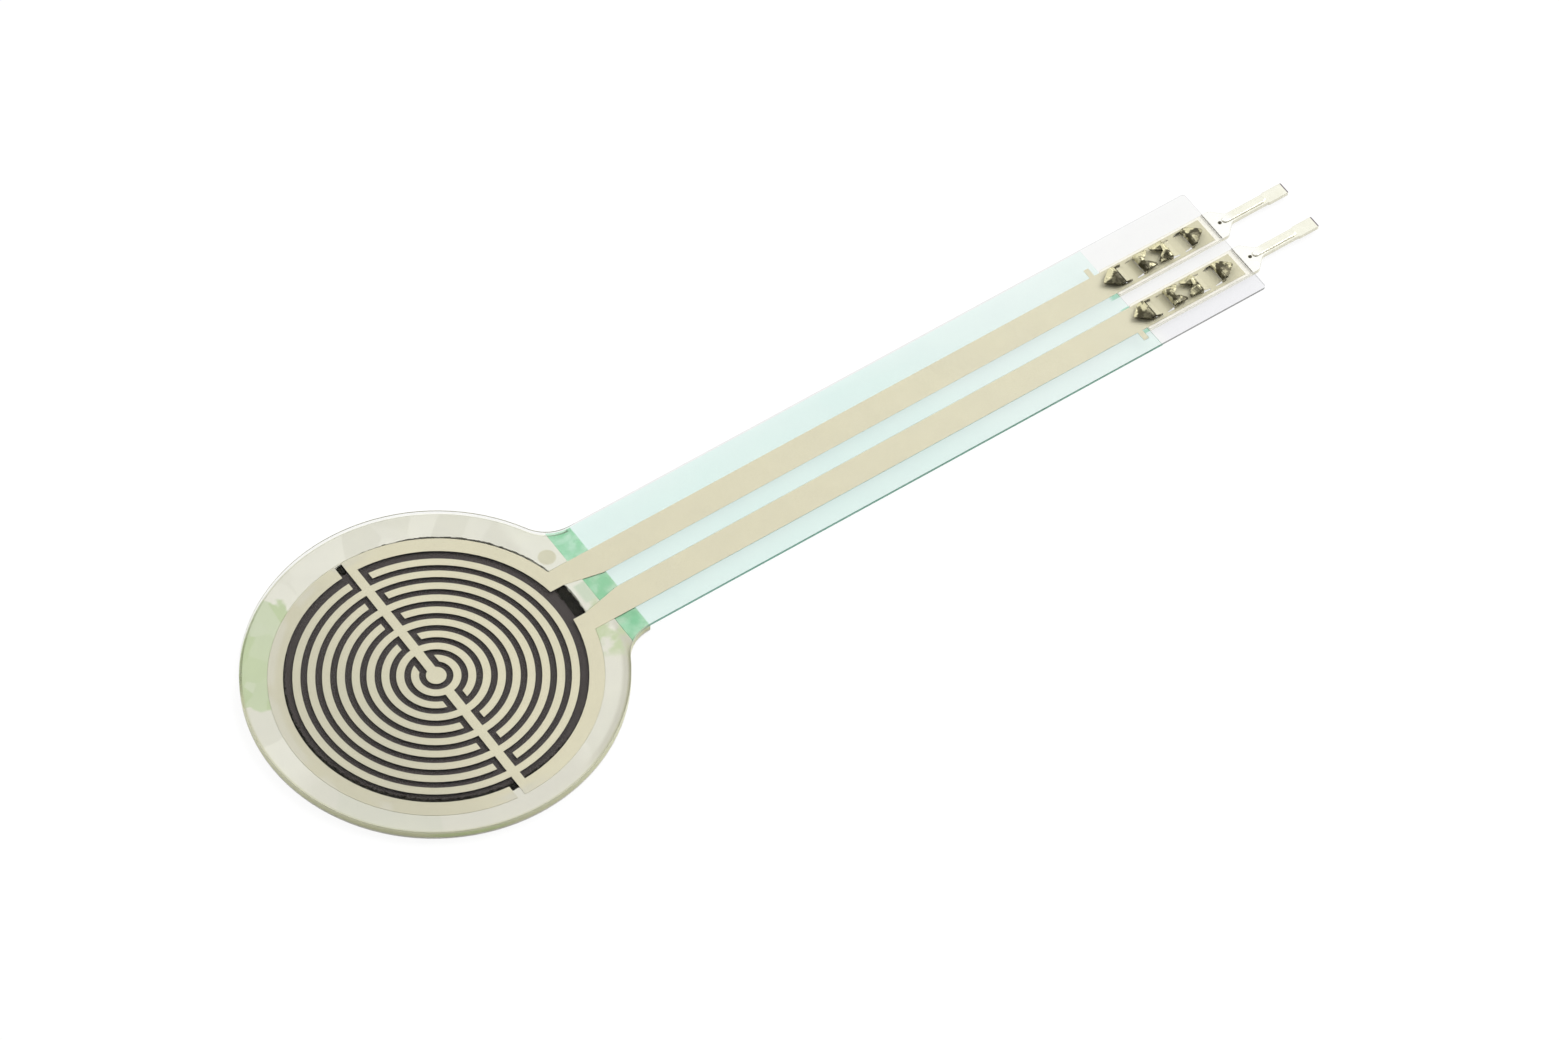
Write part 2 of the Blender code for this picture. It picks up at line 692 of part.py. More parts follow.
def make_spacer_adhesive(parts, cutters):
    """The adhesive ring, with shallow beds for the ink, the silver and the green coat."""
    opening = circle(opening_radius, OPENING_OFFSET)
    loops = [sensor_outline(lower_layers_end), opening]
    spacer = as_mesh(sheet("spacer_adhesive", loops, spacer_bottom, spacer_top, parts), parts)
    below = spacer_bottom - SPACER_THICKNESS
    above = spacer_top + SPACER_THICKNESS
    coat_floor = dielectric_bottom - LAMINATION_GAP
    ink_loop = circle(ink_radius + PRINT_CLEARANCE)
    ring_loop = circle(bus_outer + PRINT_CLEARANCE)
    coat_end = lower_layers_end + HEAD_RIM
    coat_loop = rectangle(dielectric_start - PRINT_CLEARANCE, coat_end, -head_radius, head_radius)
    beds = [
        cutter("ink_bed", ink_loop, below, ink_top + LAMINATION_GAP, cutters, INK_OFFSET),
        cutter("ring_bed", ring_loop, groove_floor, above, cutters, COMB_OFFSET),
        cutter("coat_bed", coat_loop, coat_floor, above, cutters),
    ]
    for side in tab_sides.values():
        loop = lead_bed_outline(side)
        beds.append(cutter("lead_bed", loop, groove_floor, above, cutters, COMB_OFFSET))
    for bed in beds:
        boolean(spacer, bed, "DIFFERENCE")
    spacer.data.materials.append(principled("spacer_acrylic", (0.80, 0.80, 0.66), 0.3))


def make_electrodes(parts, cutters):
    silver = principled("silver_ink", (0.70, 0.66, 0.54), 0.42, 0.35)
    outlines = {"a": electrode_a_outline(), "b": electrode_b_outline()}
    for letter, side in tab_sides.items():
        name = f"electrode_{letter}"
        electrode = prism(name, outlines[letter], silver_bottom, silver_top, parts, COMB_OFFSET)
        pierce(electrode, [side], silver_bottom, silver_top, PRINT_CLEARANCE, cutters)
        electrode.data.materials.append(silver)
    loops = [support_ring_outline()]
    ring = sheet("support_ring", loops, silver_bottom, silver_top, parts, COMB_OFFSET)
    ring.data.materials.append(silver)


def make_tail_dielectric(parts, cutters):
    """The tinted coat, with grooves in its upper face for the leads and their stubs."""
    upper = neck_edge_from(dielectric_start) + [(dielectric_end, half_tail)]
    outline = upper + mirrored_in_y(upper)[::-1]
    coat = prism("tail_dielectric", outline, dielectric_bottom, dielectric_top, parts)
    above = dielectric_top + SILVER_THICKNESS
    for side in tab_sides.values():
        loop = lead_bed_outline(side)
        groove = cutter("lead_groove", loop, groove_floor, above, cutters, COMB_OFFSET)
        boolean(coat, groove, "DIFFERENCE")
    coat.data.materials.append(principled("green_coat", (0.62, 0.85, 0.76), 0.3))


def make_conductive_film(parts, cutters):
    outline = sensor_outline(TAIL_LENGTH, TAIL_CORNER)
    film = prism("conductive_film", outline, film_bottom, film_top, parts)
    pierce(film, tab_sides.values(), film_bottom, film_top, 0.0, cutters)
    film.data.materials.append(principled("clear_film", (0.90, 0.91, 0.89), 0.12, alpha=0.35))


def make_terminals(parts, cutters):
    mesh = tab_mesh(parts, cutters)
    mesh.name = "crimp_tab"
    mesh.materials.append(principled("tinned_brass", (0.78, 0.77, 0.70), 0.28, 1.0))
    for letter, side in tab_sides.items():
        terminal = bpy.data.objects.new(f"terminal_{letter}", mesh)
        terminal.location = (crimp_x, lead_middle + side * LEAD_PITCH / 2, tab_top)
        parts.objects.link(terminal)


def main():
    clear_scene()
    parts = new_collection("force_sensing_resistor")
    cutters = new_collection("cutters")
    make_release_liner(parts)
    make_rear_adhesive(parts)
    make_sensing_film(parts)
    make_sensing_ink(parts)
    make_spacer_adhesive(parts, cutters)
    make_electrodes(parts, cutters)
    make_tail_dielectric(parts, cutters)
    make_conductive_film(parts, cutters)
    make_terminals(parts, cutters)


main()
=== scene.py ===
"""Looks of the force sensing resistor: materials, light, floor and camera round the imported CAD."""

from math import degrees, radians

import bpy
from mathutils import Euler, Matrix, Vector

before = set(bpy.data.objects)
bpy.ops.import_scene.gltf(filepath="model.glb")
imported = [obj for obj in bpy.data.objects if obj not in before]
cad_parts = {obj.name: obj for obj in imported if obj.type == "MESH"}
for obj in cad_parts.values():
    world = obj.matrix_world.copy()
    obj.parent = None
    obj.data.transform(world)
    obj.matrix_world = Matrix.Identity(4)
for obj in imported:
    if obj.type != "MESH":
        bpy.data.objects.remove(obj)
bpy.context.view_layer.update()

MM = 0.001

# Camera, as fitted to the photograph: a long lens (mm) from the near left, 55 degrees up
CAMERA_PLACE = Vector((-127.68, -204.30, 345.64)) * MM
CAMERA_TURN = (35.8811, -1.0145, -34.4535)
CAMERA_LENS = 203.935
SENSOR_WIDTH = 36.0

# Studio, in metres and watts
FLOOR_HALF_WIDTH = 1.5
FLOOR_DROP = 0.00003
LIGHT_AIM = Vector((0.02, 0.0, 0.0))
KEY_PLACE = (0.36, 0.0, 0.33)
KEY_SIZE = 0.30
KEY_POWER = 1.6
FILL_PLACE = (-0.25, 0.45, 0.4)
FILL_SIZE = 0.35
FILL_POWER = 0.8
# The direction from which the flat faces mirror the world towards the photograph's camera
BRIGHT_SIDE = (0.303, 0.485, 0.82)

# Places where the finish changes, in millimetres from the middle of the head
HEAD_MIDDLE = (0.0, 0.0)
HEAD_LAYERS_END = 10.0
COAT_START = 8.8
COAT_END = 40.25
FILM_END = 46.55
FILM_TOP = 0.54
LEAD_Y = (1.10, -1.44)
COMB_PLACE = (-0.10, -0.24)
OPENING_PLACE = (0.09, -0.04)
OPENING_RADIUS = 7.29
INK_PLACE = (0.16, -0.02)
INK_RADIUS = 7.86
OUTLINE_RADIUS = 9.35
FILLET_PLACE = (9.93, 5.47)
FILLET_RADIUS = 2.0
THUMB_MARK_PLACE = (8.1, 2.6)
CRIMP_START = 40.6
CRIMP_END = 45.5
PAD_HALF_WIDTH = 0.53
CRIMP_HALF_WIDTH = 0.65
TAB_HALF_WIDTH = 0.89
# The four teeth of a tab, which stand in pairs at the ends of its two windows
FIRST_TOOTH_END = 41.0
FIRST_WINDOW_MIDDLE = 41.5
SECOND_TOOTH_ROOT = 42.3
THIRD_TOOTH_START = 43.0
LAST_WINDOW_MIDDLE = 44.4
LAST_TOOTH_START = 44.9
LAST_TOOTH_ROOT = 45.2
# The pin, with the dimple before it
DIMPLE_X = 47.05
DIMPLE_RADIUS = 0.1
PIN_START = 47.6
PIN_TIP = 50.99


def srgb(red, green, blue):
    """A colour as it reads in a picture, from 0 to 255, as the linear colour that a shader takes."""
    linear = []
    for value in (red, green, blue):
        share = value / 255
        linear.append(share / 12.92 if share <= 0.04045 else ((share + 0.055) / 1.055) ** 2.4)
    return (*linear, 1.0)


class Graph:
    """The nodes of one material. Each call adds a node; its values are numbers, colours or sockets."""

    def __init__(self, name):
        self.material = bpy.data.materials.new(name)
        self.material.use_nodes = True
        self.tree = self.material.node_tree
        self.tree.nodes.clear()
        self.output = self.tree.nodes.new("ShaderNodeOutputMaterial")
        coordinates = self.tree.nodes.new("ShaderNodeTexCoord")
        scaled = self.tree.nodes.new("ShaderNodeVectorMath")
        scaled.operation = "SCALE"
        scaled.inputs["Scale"].default_value = 1 / MM
        self.tree.links.new(coordinates.outputs["Object"], scaled.inputs[0])
        self.place = scaled.outputs[0]
        parts = self.tree.nodes.new("ShaderNodeSeparateXYZ")
        self.tree.links.new(self.place, parts.inputs[0])
        self.x, self.y, self.z = parts.outputs
        geometry = self.tree.nodes.new("ShaderNodeNewGeometry")
        facing = self.tree.nodes.new("ShaderNodeSeparateXYZ")
        self.true_normal = geometry.outputs["True Normal"]
        self.tree.links.new(self.true_normal, facing.inputs[0])
        self.face_x, self.face_y, self.face_z = facing.outputs

    def put(self, socket, value):
        """Links value to socket if it is a socket itself, and otherwise sets it there."""
        if isinstance(value, bpy.types.NodeSocket):
            self.tree.links.new(value, socket)
        else:
            socket.default_value = value

    def node(self, kind, **inputs):
        """A node with its inputs given by name, with _ for each space."""
        made = self.tree.nodes.new(kind)
        for name, value in inputs.items():
            self.put(made.inputs[name.replace("_", " ")], value)
        return made

    def math(self, operation, first, second=0.0):
        made = self.tree.nodes.new("ShaderNodeMath")
        made.operation = operation
        self.put(made.inputs[0], first)
        self.put(made.inputs[1], second)
        return made.outputs[0]

    def invert(self, share):
        """1 where share is 0, and 0 where it is 1."""
        return self.math("SUBTRACT", 1.0, share)

    def times(self, first, *others):
        """The product of all the values."""
        for other in others:
            first = self.math("MULTIPLY", first, other)
        return first

    def most(self, first, *others):
        """The largest of the values."""
        for other in others:
            first = self.math("MAXIMUM", first, other)
        return first

    def step(self, value, start, end, low=0.0, high=1.0):
        """Goes smoothly from low to high as value goes from start to end."""
        made = self.tree.nodes.new("ShaderNodeMapRange")
        made.interpolation_type = "SMOOTHSTEP"
        names = ("Value", "From Min", "From Max", "To Min", "To Max")
        for name, number in zip(names, (value, start, end, low, high)):
            self.put(made.inputs[name], number)
        return made.outputs["Result"]

    def band(self, value, start, end, soft):
        """1 where value lies from start to end, with soft ends."""
        rise = self.step(value, start - soft, start + soft)
        return self.times(rise, self.step(value, end + soft, end - soft))

    def mix(self, share, first, second):
        """The first colour where share is 0, going to the second where it is 1."""
        made = self.tree.nodes.new("ShaderNodeMix")
        made.data_type = "RGBA"
        self.put(made.inputs["Factor"], share)
        self.put(made.inputs[6], first)
        self.put(made.inputs[7], second)
        return made.outputs[2]

    def noise(self, size, detail=2.0, roughness=0.5, stretch=(1.0, 1.0, 1.0), offset=(0.0, 0.0, 0.0)):
        """Soft noise with features about size millimetres across, from 0 to 1."""
        mapping = self.tree.nodes.new("ShaderNodeMapping")
        self.put(mapping.inputs["Vector"], self.place)
        mapping.inputs["Location"].default_value = offset
        mapping.inputs["Scale"].default_value = stretch
        made = self.tree.nodes.new("ShaderNodeTexNoise")
        self.put(made.inputs["Vector"], mapping.outputs[0])
        made.inputs["Scale"].default_value = 1 / size
        made.inputs["Detail"].default_value = detail
        made.inputs["Roughness"].default_value = roughness
        return made.outputs["Fac"]

    def cells(self, size, place=None, offset=(0.0, 0.0, 0.0)):
        """A random value for each cell of an irregular mosaic."""
        mapping = self.tree.nodes.new("ShaderNodeMapping")
        self.put(mapping.inputs["Vector"], place or self.place)
        mapping.inputs["Location"].default_value = offset
        made = self.tree.nodes.new("ShaderNodeTexVoronoi")
        made.feature = "SMOOTH_F1"
        made.inputs["Smoothness"].default_value = 0.1
        self.put(made.inputs["Vector"], mapping.outputs[0])
        made.inputs["Scale"].default_value = 1 / size
        value = self.tree.nodes.new("ShaderNodeSeparateColor")
        self.put(value.inputs[0], made.outputs["Color"])
        return value.outputs[0]

    def distance(self, centre):
        """Millimetres from an upright line through centre."""
        dx = self.math("SUBTRACT", self.x, centre[0])
        dy = self.math("SUBTRACT", self.y, centre[1])
        squares = self.math("ADD", self.times(dx, dx), self.times(dy, dy))
        return self.math("SQRT", squares)

    def angle(self):
        """Degrees round the head, from 0 at the tail by the far side (90) to the near side (270)."""
        minus_y = self.math("MULTIPLY", self.y, -1.0)
        minus_x = self.math("MULTIPLY", self.x, -1.0)
        turn = self.math("ARCTAN2", minus_y, minus_x)
        return self.math("ADD", self.times(turn, degrees(1.0)), 180.0)

    def round_the_head(self):
        """A place that runs round the head and outwards, for patches cut off by radial seams."""
        made = self.tree.nodes.new("ShaderNodeCombineXYZ")
        self.put(made.inputs[0], self.times(self.angle(), 0.15))
        self.put(made.inputs[1], self.times(self.distance(HEAD_MIDDLE), 0.7))
        return made.outputs[0]

    def bump(self, height, depth, strength=1.0):
        """A normal for relief that is depth millimetres deep."""
        made = self.tree.nodes.new("ShaderNodeBump")
        made.inputs["Strength"].default_value = strength
        made.inputs["Distance"].default_value = depth * MM
        self.put(made.inputs["Height"], height)
        return made.outputs["Normal"]

    def blend(self, share, first, second):
        """The first shader where share is 0, going to the second where it is 1."""
        made = self.tree.nodes.new("ShaderNodeMixShader")
        self.put(made.inputs[0], share)
        self.put(made.inputs[1], first)
        self.put(made.inputs[2], second)
        return made.outputs[0]

    def edge(self):
        """1 on the cut edges of a sheet, 0 on its flat faces and gentle slopes."""
        return self.step(self.math("ABSOLUTE", self.face_z), 0.75, 0.55)

    def near_edge(self, low, high):
        """From low on the far half of the outline to high on its near half, where y is negative."""
        across = self.math("MULTIPLY", self.y, -0.85)
        along = self.math("MULTIPLY", self.math("MINIMUM", self.x, 0.0), -0.53)
        return self.step(self.math("ADD", across, along), -0.5, 1.5, low, high)

    def over_tabs(self, half_width):
        """1 along the two tabs, 0 beside and between them."""
        shares = [self.band(self.y, middle - half_width, middle + half_width, 0.03) for middle in LEAD_Y]
        return self.most(*shares)

    def across_tab(self):
        """Millimetres from the middle line of the nearer tab, along y."""
        pitch = LEAD_Y[0] - LEAD_Y[1]
        raised = self.math("ADD", self.y, pitch / 2 - LEAD_Y[0])
        return self.math("SUBTRACT", self.math("FLOORED_MODULO", raised, pitch), pitch / 2)

    def rubbed(self, radius):
        """1 within about radius millimetres of a sharp edge, 0 on open faces."""
        rounded = self.tree.nodes.new("ShaderNodeBevel")
        rounded.samples = 8
        rounded.inputs["Radius"].default_value = radius * MM
        match = self.tree.nodes.new("ShaderNodeVectorMath")
        match.operation = "DOT_PRODUCT"
        self.tree.links.new(rounded.outputs["Normal"], match.inputs[0])
        self.tree.links.new(self.true_normal, match.inputs[1])
        return self.step(match.outputs["Value"], 0.98, 0.85)

    def painted_slot_shade(self):
        """1 by each tab's first tooth and at the far side of its last one: the share of painted shade in
        the torn slots there.
        """
        by_first = self.step(self.x, FIRST_WINDOW_MIDDLE, FIRST_WINDOW_MIDDLE - 0.3)
        by_last = self.step(self.x, LAST_WINDOW_MIDDLE + 0.2, LAST_WINDOW_MIDDLE + 0.4)
        by_last = self.times(by_last, self.step(self.across_tab(), 0.2, 0.3))
        return self.most(by_first, by_last)

    def torn_wall_colour_and_shade(self):
        """Colour of the walls of the torn slots round the teeth, darkened to olive black by painted
        shade by each tab's first tooth and past its last one.
        """
        return self.mix(self.painted_slot_shade(), srgb(212, 206, 178), srgb(104, 98, 73))

    def surface(self, shader):
        """Ends the graph at shader and gives the finished material."""
        self.put(self.output.inputs["Surface"], shader)
        return self.material


def clear_film():
    """The polyester film: nearly clear, a faint gloss, and cut edges that gather colour."""
    g = Graph("clear_film")
    tint = g.mix(g.noise(1.6, 3.0), srgb(249, 249, 249), srgb(251, 251, 250))
    # Painted shade: the tint is a little darker by the near corner of the clear end
    painted_shade_corner = g.times(g.step(g.x, COAT_END, COAT_END + 0.8), g.step(g.y, -2.35, -2.6))
    tint = g.mix(painted_shade_corner, tint, srgb(248, 248, 249))
    clear = g.node("ShaderNodeBsdfTransparent", Color=tint).outputs[0]
    gloss = g.node("ShaderNodeBsdfGlossy", Color=(1, 1, 1, 1), Roughness=0.12)
    g.put(gloss.inputs["Normal"], g.bump(g.noise(2.5, 2.0), 0.01))
    grazing = g.tree.nodes.new("ShaderNodeLayerWeight").outputs["Facing"]
    sheen = g.math("ADD", g.times(g.math("POWER", grazing, 5.0), 0.5), 0.006)
    face = g.blend(sheen, clear, gloss.outputs[0])

    # The cut edges: olive round the head, teal beside the coat, grey at the clear end; painted shade
    # makes them opaque and dark on the near half of the outline
    tinted = g.band(g.x, 9.9, COAT_END, 0.3)
    colour = g.mix(g.step(g.x, 9.0, 11.0), srgb(205, 205, 172), srgb(136, 136, 133))
    teal = g.mix(g.step(g.x, 12.0, 32.0), srgb(62, 150, 125), srgb(24, 130, 98))
    colour = g.mix(tinted, colour, teal)
    near_line = g.times(g.near_edge(0.0, 0.9), g.step(g.x, FILM_END - 0.1, FILM_END - 0.05, 1.0, 0.3))
    far_line = g.times(g.step(g.z, FILM_TOP - 0.06, FILM_TOP - 0.05), g.step(g.x, 10.5, 9.5, 0.2, 1.0))

    # The slots that the teeth tore: their walls are painted only where there is painted shade, by each
    # tab's first and last tooth
    crimped = g.times(g.band(g.x, CRIMP_START, CRIMP_END, 0.1), g.over_tabs(CRIMP_HALF_WIDTH))
    torn = g.times(crimped, g.painted_slot_shade())
    colour = g.mix(torn, colour, g.torn_wall_colour_and_shade())
    outline = g.times(g.most(near_line, far_line), g.invert(crimped))
    cut = g.most(outline, torn)

    # Painted shade: a dark line along the film's end where it lies on the tabs
    end_wall = g.step(g.x, FILM_END - 0.012, FILM_END - 0.008)
    end_wall = g.times(end_wall, g.step(g.z, FILM_TOP - 0.065, FILM_TOP - 0.075))
    over_tab = g.times(end_wall, g.over_tabs(TAB_HALF_WIDTH))
    end_line = g.mix(g.step(g.noise(0.5, 1.0), 0.4, 0.6), srgb(84, 76, 57), srgb(122, 114, 94))
    colour = g.mix(over_tab, colour, end_line)

    rim = g.node("ShaderNodeBsdfPrincipled", Base_Color=colour, Roughness=0.3).outputs[0]
    painted = g.most(g.times(g.edge(), cut), over_tab)
    return g.surface(g.blend(painted, face, rim))


def silver_ink():
    """Screen-printed silver: warm, satin, faintly mottled, with the mesh's grain."""
    g = Graph("silver_ink")
    grain = g.noise(0.06, 3.0, 0.7)
    mottle = g.noise(1.2, 4.0, 0.6)

    # A painted light gradient: darkest on the side of the head away from the tail, lightest along the
    # tail
    far_end = g.mix(mottle, srgb(203, 199, 177), srgb(209, 206, 183))
    head = g.mix(mottle, srgb(219, 214, 187), srgb(225, 220, 194))
    tail = g.mix(mottle, srgb(219, 214, 188), srgb(225, 221, 196))
    colour = g.mix(g.step(g.x, -5.0, 1.5), far_end, head)
    colour = g.mix(g.step(g.x, 18.0, 34.0), colour, tail)
    colour = g.mix(g.step(grain, 0.35, 0.75, 0.0, 0.35), colour, srgb(194, 187, 160))
    ring = g.times(g.step(g.distance(COMB_PLACE), 7.5, 7.8), g.step(g.x, 2.0, -1.0))
    blotch = g.times(ring, g.step(g.noise(2.6, 2.0, 0.5, offset=(3.0, 1.0, 0.0)), 0.46, 0.56))
    colour = g.mix(blotch, colour, srgb(210, 207, 190))
    on_pad = g.step(g.x, COAT_END, COAT_END + 0.2)
    pad = g.mix(g.noise(0.9), srgb(204, 199, 170), srgb(216, 211, 184))
    colour = g.mix(on_pad, colour, pad)

    # Painted shade on the pad where it lifts towards the second and the last tooth
    rise = g.step(g.x, FIRST_WINDOW_MIDDLE, SECOND_TOOTH_ROOT - 0.1)
    by_second = g.times(rise, g.step(g.x, SECOND_TOOTH_ROOT + 0.04, SECOND_TOOTH_ROOT + 0.02))
    rise = g.step(g.x, LAST_TOOTH_ROOT - 0.6, LAST_TOOTH_ROOT, 0.0, 0.5)
    by_last = g.times(rise, g.step(g.x, LAST_TOOTH_ROOT + 0.04, LAST_TOOTH_ROOT + 0.02))
    lift_shade = g.times(g.most(by_second, by_last), g.over_tabs(PAD_HALF_WIDTH))
    colour = g.mix(lift_shade, colour, srgb(176, 170, 138))

    # The torn walls take the slot colour, with its painted shade by the first and the last tooth
    torn = g.times(g.edge(), g.band(g.x, CRIMP_START, CRIMP_END, 0.1))
    colour = g.mix(torn, colour, g.torn_wall_colour_and_shade())
    shader = g.node("ShaderNodeBsdfPrincipled", Base_Color=colour, Metallic=0.1)
    g.put(shader.inputs["Roughness"], g.step(grain, 0.2, 0.8, 0.5, 0.62))
    g.put(shader.inputs["Normal"], g.bump(grain, 0.004, 0.4))
    return g.surface(shader.outputs[0])


def green_coat():
    """The tinted dielectric over the leads, stronger where it laps under the head's layers."""
    g = Graph("green_coat")
    streaks = g.noise(1.8, 3.0, 0.5, (0.5, 1.0, 1.0))
    by_head = g.mix(streaks, srgb(243, 253, 251), srgb(247, 254, 252))
    by_pins = g.mix(streaks, srgb(247, 254, 252), srgb(250, 255, 254))
    tail = g.mix(g.step(g.x, 24.0, 38.0), by_head, by_pins)
    patch = g.step(g.noise(0.9, 4.0, 0.6), 0.35, 0.65)
    lap = g.mix(patch, srgb(228, 248, 237), srgb(243, 252, 247))
    near_lap = g.mix(patch, srgb(224, 246, 234), srgb(240, 251, 245))
    far_lap = g.mix(patch, srgb(228, 248, 237), srgb(243, 253, 249))
    lap = g.mix(g.step(g.y, -1.9, -2.2), lap, near_lap)
    lap = g.mix(g.step(g.y, 1.7, 2.2), lap, far_lap)
    tint = g.mix(g.step(g.x, HEAD_LAYERS_END + 0.03, HEAD_LAYERS_END - 0.03), tail, lap)
    by_lead_a = g.band(g.y, 0.1, 0.36, 0.04)
    by_lead_b = g.most(g.band(g.y, -2.42, -2.22, 0.04), g.band(g.y, -0.68, -0.6, 0.03))
    by_coat_end = g.step(g.x, COAT_END - 0.6, COAT_END - 0.3)
    pooled = g.times(by_coat_end, g.most(by_lead_a, by_lead_b))
    tint = g.mix(pooled, tint, srgb(218, 244, 232))
    clear = g.node("ShaderNodeBsdfTransparent", Color=tint).outputs[0]
    # The cut edge is painted as a dark teal rim on the near half of the outline only: painted shade
    rim = g.node("ShaderNodeBsdfPrincipled", Base_Color=srgb(76, 165, 135), Roughness=0.3).outputs[0]
    return g.surface(g.blend(g.times(g.edge(), g.near_edge(0.05, 0.9)), clear, rim))


def patchwork(g):
    """The milky patches round the head: cream, with one green stretch and green mottling by the neck."""
    around = g.angle()
    out = g.distance(HEAD_MIDDLE)
    patch = g.step(g.cells(2.4, g.round_the_head()), 0.3, 0.7)

    # Cream: dull on the near left, lighter by the neck, with a shaded rim on the near right
    cream = g.mix(patch, srgb(223, 222, 209), srgb(232, 231, 219))
    dull = g.mix(patch, srgb(216, 216, 202), srgb(221, 219, 207))
    colour = g.mix(g.band(around, 192.0, 292.0, 8.0), cream, dull)
    by_neck = g.times(g.step(around, 50.0, 35.0), g.step(g.x, 7.0, 7.6))
    colour = g.mix(by_neck, colour, srgb(232, 232, 219))
    lighter = g.mix(patch, srgb(226, 225, 212), srgb(232, 230, 218))
    colour = g.mix(g.band(around, 297.0, 340.0, 6.0), colour, lighter)
    shaded = g.times(g.band(around, 292.0, 346.0, 8.0), g.step(out, 8.8, 9.05))
    colour = g.mix(shaded, colour, srgb(206, 204, 190))

    # Green: a stretch on the far left, a mottled one by the neck, and between the leads
    wander = g.step(g.noise(1.2), 0.3, 0.7, -2.5, 2.5)
    green = g.band(g.math("ADD", around, wander), 119.0, 160.0, 0.7)
    leaf = g.mix(g.step(g.cells(1.1), 0.3, 0.8), srgb(194, 208, 168), srgb(207, 216, 188))
    colour = g.mix(green, colour, leaf)
    mottle = g.times(g.band(around, 333.0, 356.0, 3.0), g.step(g.noise(0.8, 2.0), 0.4, 0.6))
    colour = g.mix(mottle, colour, srgb(200, 212, 174))
    between_leads = g.times(g.step(g.x, 8.05, 8.3), g.band(g.y, -0.7, 0.45, 0.1))
    colour = g.mix(between_leads, colour, srgb(206, 218, 196))

    # A round mark by the neck, the darker near rim, and the bright ground of the coat's lap
    thumb_mark = g.step(g.distance(THUMB_MARK_PLACE), 0.5, 0.38, 0.0, 0.8)
    colour = g.mix(thumb_mark, colour, srgb(208, 205, 176))
    shade = g.times(g.step(out, 9.12, 9.3), g.near_edge(0.0, 0.8), g.step(g.x, 9.0, 8.0))
    colour = g.mix(shade, colour, srgb(192, 192, 160))
    under_coat = g.mix(patch, srgb(243, 243, 232), srgb(250, 250, 242))
    colour = g.mix(g.step(g.x, COAT_START, COAT_START + 0.02), colour, under_coat)

    # The cut edges
    olive = g.mix(g.band(around, 236.0, 258.0, 4.0), srgb(208, 208, 166), srgb(196, 206, 150))
    return g.mix(g.edge(), colour, olive)


def spacer_acrylic():
    """Acrylic adhesive: clear where it wets the ink and along the far rim, milky elsewhere."""
    g = Graph("spacer_acrylic")
    clear = g.node("ShaderNodeBsdfTransparent", Color=srgb(254, 254, 252)).outputs[0]
    milk = g.node("ShaderNodeBsdfPrincipled", Base_Color=patchwork(g), Roughness=0.35)
    g.put(milk.inputs["Normal"], g.bump(g.noise(0.5, 3.0), 0.003))
    wander = g.step(g.noise(0.25, 2.0), 0.3, 0.7, -0.03, 0.03)
    ragged = g.math("ADD", g.distance(INK_PLACE), wander)
    off_ink = g.step(ragged, INK_RADIUS - 0.08, INK_RADIUS - 0.05)
    by_head = g.step(g.distance(HEAD_MIDDLE), OUTLINE_RADIUS - 0.17, OUTLINE_RADIUS - 0.13)
    by_head = g.times(by_head, g.step(g.x, 8.25, 8.15))
    by_fillet = g.step(g.distance(FILLET_PLACE), FILLET_RADIUS + 0.17, FILLET_RADIUS + 0.13)
    far_rim = g.times(g.most(by_head, by_fillet), g.near_edge(1.0, 0.0), g.step(g.x, 9.9, 9.7))
    under_coat = g.step(g.x, COAT_START, COAT_START + 0.02)
    share = g.times(g.most(off_ink, under_coat), g.invert(far_rim))
    return g.surface(g.blend(share, clear, milk.outputs[0]))


def lower_film():
    """The milky lower film, in the colours of the adhesive that it carries."""
    g = Graph("lower_film")
    shader = g.node("ShaderNodeBsdfPrincipled", Base_Color=patchwork(g), Roughness=0.4)
    g.put(shader.inputs["Normal"], g.bump(g.noise(0.7, 3.0), 0.003))
    return g.surface(shader.outputs[0])


def carbon_ink():
    """Matt black ink: charcoal where it lies open to the air, deep black under the adhesive."""
    g = Graph("carbon_ink")
    grain = g.noise(0.08, 4.0, 0.7)
    dry = g.mix(grain, srgb(62, 58, 57), srgb(84, 78, 77))
    speck = g.step(g.noise(0.2, 3.0, 0.6), 0.55, 0.7)
    deep = g.mix(grain, srgb(8, 7, 3), srgb(22, 20, 10))
    wet = g.mix(speck, deep, srgb(52, 49, 38))
    wander = g.step(g.noise(0.12, 2.0), 0.3, 0.7, -0.06, 0.06)
    ragged = g.math("ADD", g.distance(OPENING_PLACE), wander)
    covered = g.step(ragged, OPENING_RADIUS - 0.02, OPENING_RADIUS + 0.02)
    shader = g.node("ShaderNodeBsdfPrincipled", Base_Color=g.mix(covered, dry, wet), Roughness=0.75)
    shader.inputs["Specular IOR Level"].default_value = 0.1
    g.put(shader.inputs["Normal"], g.bump(grain, 0.006, 0.6))
    return g.surface(shader.outputs[0])


def rear_acrylic():
    """The mounting adhesive under the head: milky, a little yellow, unevenly spread."""
    g = Graph("rear_acrylic")
    colour = g.mix(g.noise(1.5, 3.0), srgb(216, 216, 196), srgb(230, 229, 214))
    shader = g.node("ShaderNodeBsdfPrincipled", Base_Color=colour, Roughness=0.4)
    return g.surface(shader.outputs[0])


